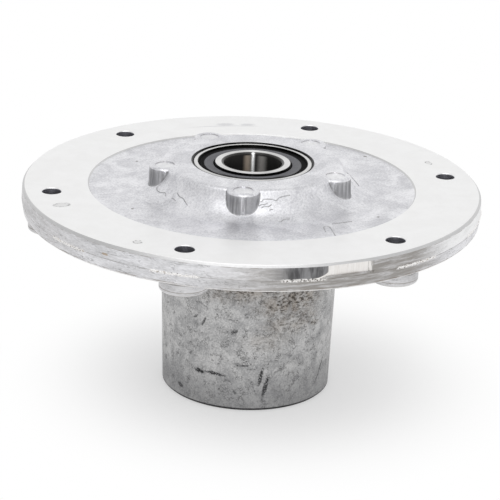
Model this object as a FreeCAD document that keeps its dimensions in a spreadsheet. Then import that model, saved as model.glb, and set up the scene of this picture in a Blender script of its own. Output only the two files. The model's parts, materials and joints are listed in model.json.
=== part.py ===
import FreeCAD, Part
import math
import os
import Sketcher

# Mower deck spindle housing: a die-cast aluminium flange, hub and tube in one piece, with a
# sealed ball bearing pressed into each end and a spacer sleeve between the two inner rings.
# The part stands on the end of its tube: origin at the centre of that end, +Z up the axis.

# Driving sizes, in millimetres, degrees or plain counts
SIZES = (
    # Flange
    ("flange_diameter", 200.0, "flange across its upper rim"),
    ("flange_thickness", 11.5, "flange from machined face to underside"),
    ("flange_face_height", 92.0, "machined face above the tube end"),
    ("flange_top_chamfer", 1.0, "chamfer round the machined face"),
    ("flange_lower_chamfer", 0.7, "edge break round the underside"),
    ("parting_line_drop", 6.4, "parting line below the machined face"),
    ("parting_ridge", 0.3, "how far the parting line stands out of the rim"),
    ("rim_lower_setback", 0.4, "how far the lower rim draws in by its draft"),
    ("machined_ring_inner_diameter", 143.4, "inner edge of the machined ring"),
    ("dish_depth", 0.6, "as-cast dish below the machined ring"),
    ("gate_flat_depth", 0.55, "how deep the gate was cut off into the rim"),
    ("gate_flat_height", 5.2, "height of that cut, down from the machined face"),
    ("gate_flat_angle", 281.0, "direction of the middle of that cut"),
    # Bolt holes and their bosses
    ("bolt_count", 6, "bolt holes in the flange"),
    ("bolt_circle_diameter", 176.0, "circle of the bolt holes"),
    ("bolt_hole_diameter", 8.2, "bolt hole"),
    ("bolt_hole_chamfer", 0.35, "edge break at both ends of a bolt hole"),
    ("boss_diameter", 20.4, "round boss under a bolt hole"),
    ("boss_drop", 5.7, "boss below the flange underside"),
    ("boss_edge_radius", 1.3, "rounding of a boss's lower edge"),
    # Hub and its lugs
    ("hub_height", 10.4, "hub top above the machined face"),
    ("hub_diameter", 78.0, "hub across its upper edge, before rounding"),
    ("hub_edge_radius", 2.4, "rounding of the hub's upper edge"),
    ("hub_flank_angle", 20.0, "slope of the hub's flank off upright"),
    ("hub_flare_radius", 14.0, "hollow curve from the flank to the dish"),
    ("lug_count", 5, "lugs round the hub"),
    ("lug_circle_diameter", 77.6, "circle of the lug centres"),
    ("lug_diameter", 13.6, "lug across its top, before rounding"),
    ("lug_draft", 2.0, "draft of a lug's wall"),
    ("lug_edge_radius", 1.0, "rounding of a lug's upper edge"),
    ("lug_top_drop", 0.15, "lug's top below the hub top"),
    ("lug_root_radius", 0.8, "fillet where a lug's wall meets the flare"),
    ("ejector_mark_diameter", 8.4, "round ejector mark in a lug's top"),
    ("ejector_mark_depth", 0.3, "depth of that mark"),
    # Tube
    ("tube_end_diameter", 74.6, "tube outside at its lower end"),
    ("tube_draft", 1.6, "draft of the tube's outside"),
    ("tube_root_radius", 5.0, "fillet between tube and flange underside"),
    ("tube_end_chamfer", 0.8, "edge break round the tube end"),
    ("middle_bore_diameter", 47.0, "housing bore between the bearing seats"),
    # Bearing seats
    ("seat_clearance", 0.01, "radial room of a bearing in its seat"),
    ("seat_chamfer", 0.6, "lead-in at the mouth of a seat"),
    ("upper_bearing_recess", 0.35, "upper bearing below the hub top"),
    ("lower_bearing_recess", 1.5, "lower bearing inside the tube end"),
    # Bearings, both alike
    ("bearing_outer_diameter", 52.0, "bearing outside"),
    ("bearing_bore", 25.4, "bearing bore, for a one inch shaft"),
    ("bearing_width", 15.0, "bearing width"),
    ("bearing_corner_radius", 0.8, "rounding of the rings' mounting corners"),
    ("ring_edge_break", 0.15, "edge break of the rings beside the seals"),
    ("outer_face_width", 2.1, "flat end face of the outer ring"),
    ("inner_face_width", 3.8, "flat end face of the inner ring"),
    ("ball_count", 9, "balls in a bearing"),
    ("ball_diameter", 7.938, "ball"),
    ("race_clearance", 0.02, "room between a ball and its race"),
    ("race_relief", 0.16, "section radius of a ball groove, over the ball's"),
    ("race_shoulder", 1.75, "height of a race's shoulders"),
    # Seals
    ("seal_lip_depth", 1.0, "seal groove below the ring's end face"),
    ("seal_groove_width", 0.9, "width of the groove that holds the seal"),
    ("seal_groove_depth", 0.6, "depth of that groove into the outer ring"),
    ("seal_fit_clearance", 0.02, "room round the seal's bead"),
    ("seal_channel_width", 2.3, "channel between the outer ring and the seal's raised disc"),
    ("seal_disc_depth", 0.55, "that disc below the ring's end face"),
    ("seal_slope_width", 0.45, "slope from the disc to the channel round it"),
    ("seal_lip_width", 0.9, "bevelled lip at the seal's inner edge"),
    ("seal_lip_thickness", 0.5, "thickness of that lip at its tip"),
    ("seal_lip_clearance", 0.08, "running room between lip and inner ring"),
    # Cage
    ("cage_thickness", 0.7, "sheet of the cage"),
    ("cage_width", 2.9, "width of the cage's band"),
    ("cage_pocket_clearance", 0.1, "room of a ball in its pocket"),
    ("rivet_diameter", 1.4, "cage rivet"),
    ("rivet_head_diameter", 2.4, "cage rivet's head"),
    ("rivet_head_height", 0.45, "height of that head"),
    ("rivet_clearance", 0.02, "radial room of a rivet in its hole"),
    # Spacer sleeve
    ("spacer_wall", 3.5, "wall of the spacer sleeve"),
    ("spacer_bore_clearance", 0.2, "spacer bore wider than the shaft, on the radius"),
    ("spacer_end_play", 0.05, "end play of the spacer under the upper bearing"),
    ("spacer_chamfer", 0.5, "edge breaks of the spacer"),
    # Extra reach of the cuts that run past a face
    ("cut_margin", 2.0, "how far a cut runs past the face that it opens"),
)

doc = FreeCAD.newDocument("mower_deck_spindle")
sheet = doc.addObject("Spreadsheet::Sheet", "sizes")
for row, (alias, number, meaning) in enumerate(SIZES, start=1):
    sheet.set("A%d" % row, alias)
    sheet.set("B%d" % row, str(number))
    sheet.set("C%d" % row, meaning)
    sheet.setAlias("B%d" % row, alias)
doc.recompute()


class Size:
    """A number together with the formula that ties it to the sheet."""

    def __init__(self, formula, value):
        self.formula = formula
        self.value = float(value)

    def joined(self, sign, other, value):
        return Size("(%s %s %s)" % (self.formula, sign, as_size(other).formula), value)

    def __add__(self, other):
        return self.joined("+", other, self.value + as_size(other).value)

    def __sub__(self, other):
        return self.joined("-", other, self.value - as_size(other).value)

    def __mul__(self, other):
        return self.joined("*", other, self.value * as_size(other).value)

    def __truediv__(self, other):
        return self.joined("/", other, self.value / as_size(other).value)

    def __neg__(self):
        return Size("(0 - %s)" % self.formula, -self.value)


def as_size(number):
    return number if isinstance(number, Size) else Size(repr(float(number)), number)


def size(alias):
    return Size("sizes." + alias, sheet.get(alias))


def half(alias):
    return size(alias) / 2


def sine(angle):
    return Size("sin(%s)" % angle.formula, math.sin(math.radians(angle.value)))


def cosine(angle):
    return Size("cos(%s)" % angle.formula, math.cos(math.radians(angle.value)))


def tangent(angle):
    return Size("tan(%s)" % angle.formula, math.tan(math.radians(angle.value)))


def root(area):
    return Size("sqrt(%s)" % area.formula, math.sqrt(area.value))


def left(radius):
    return (radius, 1)


def right(radius):
    return (radius, -1)


def new_body(label):
    body = doc.addObject("PartDesign::Body", label)
    body.Label = label
    return body


def origin_feature(body, role):
    return next(item for item in body.Origin.OriginFeatures if item.Role == role)


def arc_between(start, end, radius, turn):
    """The shorter arc from start to end that turns left (1) or right (-1)."""
    chord = end - start
    middle = (start + end) / 2
    reach = math.sqrt(max(radius ** 2 - (chord.Length / 2) ** 2, 0.0))
    sideways = FreeCAD.Vector(-chord.y, chord.x, 0) / chord.Length
    centre = middle + sideways * reach * turn
    first, last = (start, end) if turn > 0 else (end, start)
    angles = [math.atan2(point.y - centre.y, point.x - centre.x) for point in (first, last)]
    circle = Part.Circle(centre, FreeCAD.Vector(0, 0, 1), radius)
    return Part.ArcOfCircle(circle, angles[0], angles[1])


def draw_outline(sketch, corners):
    """Closed outline through corners (across, up), or (across, up, bend) before an arc."""
    points = [FreeCAD.Vector(corner[0].value, corner[1].value, 0) for corner in corners]
    bends = [corner[2] if len(corner) > 2 else None for corner in corners]
    begins = []
    for edge, bend in enumerate(bends):
        start, end = points[edge], points[(edge + 1) % len(points)]
        if bend is None:
            sketch.addGeometry(Part.LineSegment(start, end), False)
        else:
            radius, turn = bend
            sketch.addGeometry(arc_between(start, end, radius.value, turn), False)
        begins.append(2 if bend is not None and bend[1] < 0 else 1)
    for edge in range(len(points)):
        following = (edge + 1) % len(points)
        finish = 3 - begins[edge]
        sketch.addConstraint(
            Sketcher.Constraint("Coincident", edge, finish, following, begins[following]))
    for edge, corner in enumerate(corners):
        for kind, place in zip(("DistanceX", "DistanceY"), corner):
            bind(sketch, Sketcher.Constraint(kind, edge, begins[edge], place.value), place)
        if bends[edge] is not None:
            radius = bends[edge][0]
            bind(sketch, Sketcher.Constraint("Radius", edge, radius.value), radius)


def bind(sketch, constraint, measure):
    index = sketch.addConstraint(constraint)
    sketch.setExpression("Constraints[%d]" % index, measure.formula)


def spin(body, kind, name, corners, axis_at=None):
    """Turns an outline in the XZ plane round Z, or round an upright line at axis_at."""
    sketch = body.newObject("Sketcher::SketchObject", name + "_outline")
    sketch.AttachmentSupport = [(origin_feature(body, "XZ_Plane"), "")]
    sketch.MapMode = "FlatFace"
    draw_outline(sketch, corners)
    axis = "V_Axis"
    if axis_at is not None:
        ends = [FreeCAD.Vector(axis_at.value, corner[1].value, 0) for corner in (corners[0], corners[-1])]
        line = sketch.addGeometry(Part.LineSegment(*ends), True)
        sketch.addConstraint(Sketcher.Constraint("Coincident", line, 1, 0, 1))
        last = len(corners) - 1
        sketch.addConstraint(Sketcher.Constraint("Coincident", line, 2, last, 1))
        axis = "Axis0"
    doc.recompute()
    feature = body.newObject(kind, name)
    feature.Profile = sketch
    feature.ReferenceAxis = (sketch, [axis])
    feature.Angle = 360
    body.Tip = feature
    doc.recompute()
    return feature


def repeat_round(body, feature, count, name):
    pattern = body.newObject("PartDesign::PolarPattern", name)
    pattern.Originals = [feature]
    pattern.Axis = (origin_feature(body, "Z_Axis"), [""])
    pattern.Angle = 360
    pattern.setExpression("Occurrences", count.formula)
    body.Tip = pattern
    doc.recompute()
    return pattern


def primitive(body, kind, name, measures, place):
    """A solid or cut of one kind; measures bind its sizes and place its position."""
    feature = body.newObject(kind, name)
    for attribute, measure in measures.items():
        feature.setExpression(attribute, measure.formula)
    for attribute, measure in place.items():
        feature.setExpression("Placement.Base." + attribute, measure.formula)
    body.Tip = feature
    doc.recompute()
    return feature


# Heights that several pieces share
face_top = size("flange_face_height")
hub_top = face_top + size("hub_height")
dish_top = face_top - size("dish_depth")
underside = face_top - size("flange_thickness")
bearing_half = half("bearing_width")
upper_middle = hub_top - size("upper_bearing_recess") - bearing_half
lower_middle = size("lower_bearing_recess") + bearing_half

# Radii that several pieces share
seat_radius = half("bearing_outer_diameter") + size("seat_clearance")
ball_radius = half("ball_diameter")
race_radius = ball_radius + size("race_relief")
pitch_radius = (size("bearing_outer_diameter") + size("bearing_bore")) / 4
mouth_radius = half("bearing_outer_diameter") - size("outer_face_width")
groove_radius = mouth_radius + size("seal_groove_depth")
land_radius = half("bearing_bore") + size("inner_face_width")
seal_floor = size("seal_lip_depth") + size("seal_groove_width")
ball_step = as_size(360) / size("ball_count")
none = as_size(0)


def tangent_length(radius, slope):
    """From a corner to where an arc leaves it, between a level line and one sloped off upright."""
    return radius * tangent((as_size(90) - slope) / 2)


def build_housing():
    body = new_body("housing")
    slope = size("hub_flank_angle")
    draft = size("tube_draft")
    hub_edge = half("hub_diameter")
    rim = half("flange_diameter")
    rim_lower = rim - size("rim_lower_setback")
    top_round = tangent_length(size("hub_edge_radius"), slope)
    flare = tangent_length(size("hub_flare_radius"), slope)
    flare_foot = hub_edge + (hub_top - dish_top) * tangent(slope)
    ring_inner = half("machined_ring_inner_diameter")
    chamfer = size("flange_top_chamfer")
    lower_break = size("flange_lower_chamfer")
    end_break = size("tube_end_chamfer")
    tube_end = half("tube_end_diameter")
    tube_root = tube_end + underside * tangent(draft)
    root_round = tangent_length(size("tube_root_radius"), draft)
    lead = size("seat_chamfer")
    middle_bore = half("middle_bore_diameter")
    spin(body, "PartDesign::Revolution", "casting", (
        (seat_radius + lead, hub_top),
        (hub_edge - top_round, hub_top, right(size("hub_edge_radius"))),
        (hub_edge + top_round * sine(slope), hub_top - top_round * cosine(slope)),
        (flare_foot - flare * sine(slope), dish_top + flare * cosine(slope),
         left(size("hub_flare_radius"))),
        (flare_foot + flare, dish_top),
        (ring_inner - size("dish_depth"), dish_top),
        (ring_inner, face_top),
        (rim - chamfer, face_top),
        (rim, face_top - chamfer),
        (rim + size("parting_ridge"), face_top - size("parting_line_drop")),
        (rim_lower, underside + lower_break),
        (rim_lower - lower_break, underside),
        (tube_root + root_round, underside, left(size("tube_root_radius"))),
        (tube_root - root_round * sine(draft), underside - root_round * cosine(draft)),
        (tube_end + end_break * tangent(draft), end_break),
        (tube_end - end_break, none),
        (seat_radius + lead, none),
        (seat_radius, lead),
        (seat_radius, lower_middle + bearing_half),
        (middle_bore, lower_middle + bearing_half),
        (middle_bore, upper_middle - bearing_half),
        (seat_radius, upper_middle - bearing_half),
        (seat_radius, hub_top - lead),
    ))
    add_lugs(body)
    add_bolt_bosses(body)
    cut_gate_flat(body)
    return body


def add_lugs(body):
    """Lugs just below the hub top, each with a shallow ejector mark; the first is on -X."""
    axis = -half("lug_circle_diameter")
    wall = half("lug_diameter")
    edge = size("lug_edge_radius")
    top = hub_top - size("lug_top_drop")
    foot = underside + half("flange_thickness")
    spread = (top - edge - foot) * tangent(size("lug_draft"))
    lug = spin(body, "PartDesign::Revolution", "lug", (
        (axis, foot),
        (axis - wall - spread, foot),
        (axis - wall, top - edge, right(edge)),
        (axis - wall + edge, top),
        (axis, top),
    ), axis_at=axis)
    lugs = repeat_round(body, lug, size("lug_count"), "lugs")
    roots = body.newObject("PartDesign::Fillet", "lug_roots")
    roots.Base = (lugs, lug_root_edges(lugs.Shape))
    roots.setExpression("Radius", size("lug_root_radius").formula)
    body.Tip = roots
    doc.recompute()
    floor = top - size("ejector_mark_depth")
    above = hub_top + size("cut_margin")
    mark = half("ejector_mark_diameter")
    ejector_mark = spin(body, "PartDesign::Groove", "ejector_mark", (
        (axis, floor),
        (axis - mark, floor),
        (axis - mark, above),
        (axis, above),
    ), axis_at=axis)
    repeat_round(body, ejector_mark, size("lug_count"), "ejector_marks")


def lug_root_edges(shape):
    """Names of the edges where a lug's wall meets the hollow flare round the hub."""
    flare = size("hub_flare_radius").value
    names = []
    for number, edge in enumerate(shape.Edges, start=1):
        surfaces = [face.Surface for face in shape.ancestorsOfType(edge, Part.Face)]
        walls = [item for item in surfaces if isinstance(item, Part.Cone) and off_axis(item.Center)]
        flares = [item for item in surfaces
                  if isinstance(item, Part.Toroid) and math.isclose(item.MinorRadius, flare)]
        if walls and flares:
            names.append("Edge%d" % number)
    return names


def off_axis(point):
    return math.hypot(point.x, point.y) > half("hub_diameter").value / 2


def add_bolt_bosses(body):
    """Round bosses under the flange, drilled through with the bolt holes; the first is on +X."""
    axis = half("bolt_circle_diameter")
    wall = half("boss_diameter")
    edge = size("boss_edge_radius")
    bottom = underside - size("boss_drop")
    inside = underside + half("flange_thickness")
    boss = spin(body, "PartDesign::Revolution", "boss", (
        (axis, bottom),
        (axis + wall - edge, bottom, left(edge)),
        (axis + wall, bottom + edge),
        (axis + wall, inside),
        (axis, inside),
    ), axis_at=axis)
    repeat_round(body, boss, size("bolt_count"), "bosses")
    drill = half("bolt_hole_diameter")
    chamfer = size("bolt_hole_chamfer")
    margin = size("cut_margin")
    bolt_hole = spin(body, "PartDesign::Groove", "bolt_hole", (
        (axis, bottom - margin),
        (axis + drill + chamfer, bottom - margin),
        (axis + drill + chamfer, bottom),
        (axis + drill, bottom + chamfer),
        (axis + drill, face_top - chamfer),
        (axis + drill + chamfer, face_top),
        (axis + drill + chamfer, face_top + margin),
        (axis, face_top + margin),
    ), axis_at=axis)
    repeat_round(body, bolt_hole, size("bolt_count"), "bolt_holes")


def cut_gate_flat(body):
    """The flat that was left in the rim where the casting gate was cut off."""
    angle = size("gate_flat_angle")
    margin = size("cut_margin")
    distance = half("flange_diameter") - size("gate_flat_depth")
    width = root(size("flange_diameter") * (size("gate_flat_depth") + size("parting_ridge"))) * 4
    flat = primitive(body, "PartDesign::SubtractiveBox", "gate_flat", {
        "Length": size("gate_flat_depth") + size("parting_ridge") + margin,
        "Width": width,
        "Height": size("gate_flat_height") + margin,
    }, {
        "x": distance * cosine(angle) + width / 2 * sine(angle),
        "y": distance * sine(angle) - width / 2 * cosine(angle),
        "z": face_top - size("gate_flat_height"),
    })
    flat.setExpression("Placement.Rotation.Angle", angle.formula)
    doc.recompute()


def race_half_width(distance):
    """Half the width of a ball groove where it opens, at a distance from its section's centre."""
    return root(race_radius * race_radius - distance * distance)


def build_outer_ring(label, middle):
    body = new_body(label)
    outside = half("bearing_outer_diameter")
    corner = size("bearing_corner_radius")
    edge = size("ring_edge_break")
    race_bottom = pitch_radius + ball_radius + size("race_clearance")
    shoulder = race_bottom - size("race_shoulder")
    groove = race_half_width(race_radius - size("race_shoulder"))
    lip = bearing_half - size("seal_lip_depth")
    floor = bearing_half - seal_floor
    spin(body, "PartDesign::Revolution", "ring", (
        (outside - corner, bearing_half, right(corner)),
        (outside, bearing_half - corner),
        (outside, corner - bearing_half, right(corner)),
        (outside - corner, -bearing_half),
        (mouth_radius + edge, -bearing_half),
        (mouth_radius, edge - bearing_half),
        (mouth_radius, -lip),
        (groove_radius, -lip),
        (groove_radius, -floor),
        (shoulder, -floor),
        (shoulder, -groove, left(race_radius)),
        (shoulder, groove),
        (shoulder, floor),
        (groove_radius, floor),
        (groove_radius, lip),
        (mouth_radius, lip),
        (mouth_radius, bearing_half - edge),
        (mouth_radius + edge, bearing_half),
    ))
    body.setExpression("Placement.Base.z", middle.formula)
    return body


def build_inner_ring(label, middle):
    body = new_body(label)
    bore = half("bearing_bore")
    corner = size("bearing_corner_radius")
    edge = size("ring_edge_break")
    race_bottom = pitch_radius - ball_radius - size("race_clearance")
    shoulder = race_bottom + size("race_shoulder")
    groove = race_half_width(race_radius - size("race_shoulder"))
    floor = bearing_half - seal_floor
    spin(body, "PartDesign::Revolution", "ring", (
        (bore + corner, bearing_half, left(corner)),
        (bore, bearing_half - corner),
        (bore, corner - bearing_half, left(corner)),
        (bore + corner, -bearing_half),
        (land_radius - edge, -bearing_half),
        (land_radius, edge - bearing_half),
        (land_radius, -floor),
        (shoulder, -floor),
        (shoulder, -groove, right(race_radius)),
        (shoulder, groove),
        (shoulder, floor),
        (land_radius, floor),
        (land_radius, bearing_half - edge),
        (land_radius - edge, bearing_half),
    ))
    body.setExpression("Placement.Base.z", middle.formula)
    return body


def build_seal(label, middle, side):
    """A rubber-faced seal snapped into the outer ring; side 1 is its upper face, -1 its lower."""
    body = new_body(label)
    fit = size("seal_fit_clearance")
    bead = groove_radius - fit
    channel = bearing_half - size("seal_lip_depth") - fit
    disc = bearing_half - size("seal_disc_depth")
    disc_edge = mouth_radius - size("seal_channel_width")
    back = bearing_half - seal_floor + fit
    tip = land_radius + size("seal_lip_clearance")
    lip_root = tip + size("seal_lip_width")
    tip_back = back + size("seal_fit_clearance")
    tip_front = tip_back + size("seal_lip_thickness")
    section = (
        (bead, channel),
        (disc_edge + size("seal_slope_width"), channel),
        (disc_edge, disc),
        (lip_root, disc),
        (tip, tip_front),
        (tip, tip_back),
        (lip_root, back),
        (bead, back),
    )
    spin(body, "PartDesign::Revolution", "seal", [(across, up * side) for across, up in section])
    body.setExpression("Placement.Base.z", middle.formula)
    return body


def build_cage_half(label, middle, side):
    """Half of a pressed cage: a flat band with a domed pocket over each ball."""
    body = new_body(label)
    sheet_up = size("cage_thickness") * side
    inner = pitch_radius - size("cage_width") / 2
    outer = pitch_radius + size("cage_width") / 2
    pocket = ball_radius + size("cage_pocket_clearance")
    dome = pocket + size("cage_thickness")
    beyond = dome + size("cut_margin")
    half_step = ball_step / 2
    ball_place = {"x": pitch_radius * cosine(half_step), "y": pitch_radius * sine(half_step)}
    count = size("ball_count")
    spin(body, "PartDesign::Revolution", "band", (
        (inner, none), (outer, none), (outer, sheet_up), (inner, sheet_up)))
    blank = primitive(body, "PartDesign::AdditiveSphere", "dome", {"Radius": dome}, ball_place)
    repeat_round(body, blank, count, "domes")
    spin(body, "PartDesign::Groove", "trim", (
        (pitch_radius - beyond, beyond * side),
        (inner, beyond * side),
        (inner, none),
        (outer, none),
        (outer, beyond * side),
        (pitch_radius + beyond, beyond * side),
        (pitch_radius + beyond, beyond * -side),
        (pitch_radius - beyond, beyond * -side),
    ))
    hollow = primitive(body, "PartDesign::SubtractiveSphere", "pocket", {"Radius": pocket}, ball_place)
    repeat_round(body, hollow, count, "pockets")
    hole = primitive(body, "PartDesign::SubtractiveCylinder", "rivet_hole", {
        "Radius": half("rivet_diameter") + size("rivet_clearance"),
        "Height": size("cut_margin") * 2,
    }, {"x": pitch_radius, "z": -size("cut_margin")})
    repeat_round(body, hole, count, "rivet_holes")
    body.setExpression("Placement.Base.z", middle.formula)
    return body


def build_cage_rivets(label, middle):
    """Rivets with domed heads that hold the two halves of a cage together, between the balls."""
    body = new_body(label)
    body.AllowCompound = True
    shank = half("rivet_diameter")
    head = half("rivet_head_diameter")
    grip = size("cage_thickness")
    crown = size("rivet_head_height")
    bulge = (head * head + crown * crown) / (crown * 2)
    rivet = spin(body, "PartDesign::Revolution", "rivet", (
        (pitch_radius, -grip - crown, left(bulge)),
        (pitch_radius + head, -grip),
        (pitch_radius + shank, -grip),
        (pitch_radius + shank, grip),
        (pitch_radius + head, grip, left(bulge)),
        (pitch_radius, grip + crown),
    ), axis_at=pitch_radius)
    repeat_round(body, rivet, size("ball_count"), "rivets")
    body.setExpression("Placement.Base.z", middle.formula)
    return body


def build_balls(prefix, middle):
    balls = []
    for number in range(int(size("ball_count").value)):
        ball = doc.addObject("Part::Sphere", "%s_ball_%d" % (prefix, number + 1))
        ball.Label = ball.Name
        angle = ball_step * (number + 0.5)
        ball.setExpression("Radius", ball_radius.formula)
        ball.setExpression("Placement.Base.x", (pitch_radius * cosine(angle)).formula)
        ball.setExpression("Placement.Base.y", (pitch_radius * sine(angle)).formula)
        ball.setExpression("Placement.Base.z", middle.formula)
        balls.append(ball)
    return balls


def build_bearing(prefix, middle):
    pieces = [
        build_outer_ring(prefix + "_outer_ring", middle),
        build_inner_ring(prefix + "_inner_ring", middle),
        build_seal(prefix + "_top_seal", middle, 1),
        build_seal(prefix + "_bottom_seal", middle, -1),
        build_cage_half(prefix + "_cage_top", middle, 1),
        build_cage_half(prefix + "_cage_bottom", middle, -1),
        build_cage_rivets(prefix + "_cage_rivets", middle),
    ]
    return pieces + build_balls(prefix, middle)


def build_spacer():
    """Sleeve that stands on the lower inner ring and keeps the two inner rings apart."""
    body = new_body("spacer_sleeve")
    bore = half("bearing_bore") + size("spacer_bore_clearance")
    outside = bore + size("spacer_wall")
    edge = size("spacer_chamfer")
    bottom = lower_middle + bearing_half
    top = upper_middle - bearing_half - size("spacer_end_play")
    spin(body, "PartDesign::Revolution", "sleeve", (
        (bore + edge, bottom),
        (outside - edge, bottom),
        (outside, bottom + edge),
        (outside, top - edge),
        (outside - edge, top),
        (bore + edge, top),
        (bore, top - edge),
        (bore, bottom + edge),
    ))
    return body


def check_document(pieces):
    doc.recompute()
    failed = [item.Name for item in doc.Objects if {"Invalid", "Error"} & set(item.State)]
    if failed:
        raise RuntimeError("failed to build: " + ", ".join(failed))
    for piece in pieces:
        if piece.Shape.isNull() or not piece.Shape.isValid() or not piece.Shape.Solids:
            raise RuntimeError("no valid solid: " + piece.Label)


def write_pieces(pieces):
    os.makedirs("parts", exist_ok=True)
    for piece in pieces:
        piece.Shape.exportStep(os.path.join("parts", piece.Label + ".step"))
        print(piece.Label, len(piece.Shape.Solids), "solid(s)", round(piece.Shape.Volume, 2), "mm3")


spindle = [build_housing()]
spindle += build_bearing("upper", upper_middle)
spindle += build_bearing("lower", lower_middle)
spindle.append(build_spacer())
check_document(spindle)
write_pieces(spindle)
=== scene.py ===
# %% [markdown]
# # Mower deck spindle housing
# The housing is one aluminium die casting: a round flange that bolts under the mower deck, a raised hub
# with five lugs, and a drafted tube. A sealed ball bearing sits in each end of the bore. The solids come
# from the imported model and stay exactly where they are. This lesson gives them their finishes, and adds
# what the casting and moulding leave on top: broken flash, laps in the skin and ribbed seals.

# %% Load the solids
import json
import math

import bpy
from mathutils import Matrix, Vector


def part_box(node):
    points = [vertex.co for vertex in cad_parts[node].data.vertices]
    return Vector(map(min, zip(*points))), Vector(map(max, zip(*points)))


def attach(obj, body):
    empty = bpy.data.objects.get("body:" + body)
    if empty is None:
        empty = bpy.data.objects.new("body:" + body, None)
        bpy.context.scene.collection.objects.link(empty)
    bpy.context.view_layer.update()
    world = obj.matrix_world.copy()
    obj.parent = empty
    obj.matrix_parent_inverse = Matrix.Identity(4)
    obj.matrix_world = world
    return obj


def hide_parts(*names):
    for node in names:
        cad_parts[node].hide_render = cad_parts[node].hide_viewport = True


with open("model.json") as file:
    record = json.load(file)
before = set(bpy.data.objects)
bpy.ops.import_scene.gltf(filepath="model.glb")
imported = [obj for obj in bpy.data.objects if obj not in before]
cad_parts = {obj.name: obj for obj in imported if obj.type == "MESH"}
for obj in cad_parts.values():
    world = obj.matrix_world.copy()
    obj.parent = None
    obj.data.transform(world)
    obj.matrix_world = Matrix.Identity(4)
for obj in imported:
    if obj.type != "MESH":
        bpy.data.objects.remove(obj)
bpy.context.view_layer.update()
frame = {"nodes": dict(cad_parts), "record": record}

solids = frame["nodes"]

# %% [markdown]
# ## Sizes that the finishes need
# A finish often changes at an edge: the machined ring ends where the cast dish begins. Typing such places
# again invites mistakes, so the heights are read from the solids and the record. The few radii that no box
# gives are written once here, in millimetres, as the drawing has them.

# %% Heights and radii
MM = 0.001
mounts = {mount["name"]: mount for mount in frame["record"]["mounts"]}
FACE = mounts["deck_face"]["pos_m"][2] / MM
HUB_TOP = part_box("housing")[1].z / MM
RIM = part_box("housing")[1].x / MM
DISH_DROP, RING_INNER, RING_OUTER = 0.6, 71.7, 99.0
UNDERSIDE, PARTING_LINE = FACE - 11.5, FACE - 6.4
TUBE_END_RADIUS = 37.3
LUG_COUNT, LUG_CIRCLE, LUG_RADIUS, EJECTOR_MARK = 5, 38.8, 6.8, 4.2
FLARE_START, FLARE_END, FLARE_RADIUS = 39.6, 52.8, 14.0
bolts, bores = mounts["deck_bolts"]["dims"], mounts["shaft_bore_upper"]["dims"]
HOLE_COUNT, HOLE_CIRCLE, HOLE_RADIUS = bolts["count"], bolts["pcd_mm"] / 2, bolts["hole_r_mm"]
BOSS_RADIUS, BOSS_END = 10.2, FACE - 17.2
GATE_ANGLE, GATE_DISTANCE, GATE_HEIGHT = 281.0, 99.45, 5.2
SEAT_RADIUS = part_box("upper_outer_ring")[1].x / MM
print("in mm: machined face", round(FACE, 2), "hub top", round(HUB_TOP, 2), "rim radius", round(RIM, 2))

# %% [markdown]
# ## Camera
# The photograph looks slightly down on the flange from the front, through a long lens, and is turned a
# little. A camera could be aimed with a constraint, but writing its three axes into a matrix keeps the
# small roll exact: the columns are the camera's right, its up, and the direction back to where it stands.

# %% Place the camera
CAMERA_AZIMUTH, CAMERA_ELEVATION, CAMERA_ROLL = (math.radians(a) for a in (-12.73, 20.607, 2.085))
CAMERA_DISTANCE, CAMERA_RIGHT, CAMERA_RISE = 0.98148, -0.000912, -0.02904
CAMERA_LENS = 161.6


def photo_camera():
    swing = Matrix.Rotation(CAMERA_AZIMUTH, 3, "Z")
    level_right = swing @ Vector((1, 0, 0))
    back = swing @ Vector((0, -math.cos(CAMERA_ELEVATION), math.sin(CAMERA_ELEVATION)))
    roll = Matrix.Rotation(CAMERA_ROLL, 3, back)
    right, up = roll @ level_right, roll @ back.cross(level_right)
    place = Vector((0, 0, FACE * MM)) + CAMERA_DISTANCE * back + CAMERA_RIGHT * right + CAMERA_RISE * up
    camera = bpy.data.objects.new("photo_camera", bpy.data.cameras.new("photo_camera"))
    camera.data.lens = CAMERA_LENS
    camera.matrix_world = Matrix.Translation(place) @ Matrix((right, up, back)).transposed().to_4x4()
    bpy.context.scene.collection.objects.link(camera)
    bpy.context.scene.camera = camera
    return camera


camera = photo_camera()
print("camera stands at", [round(c, 3) for c in camera.matrix_world.translation], "m")

# %% [markdown]
# ## A short way to write node trees
# Materials and geometry both come from node trees. Clicking them together is quick, but a script should
# read from top to bottom like a recipe, so this helper places one node at a time and wires or sets its
# inputs. Shader trees and geometry trees share the math nodes, so one helper serves both.

# %% The node helper


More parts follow.
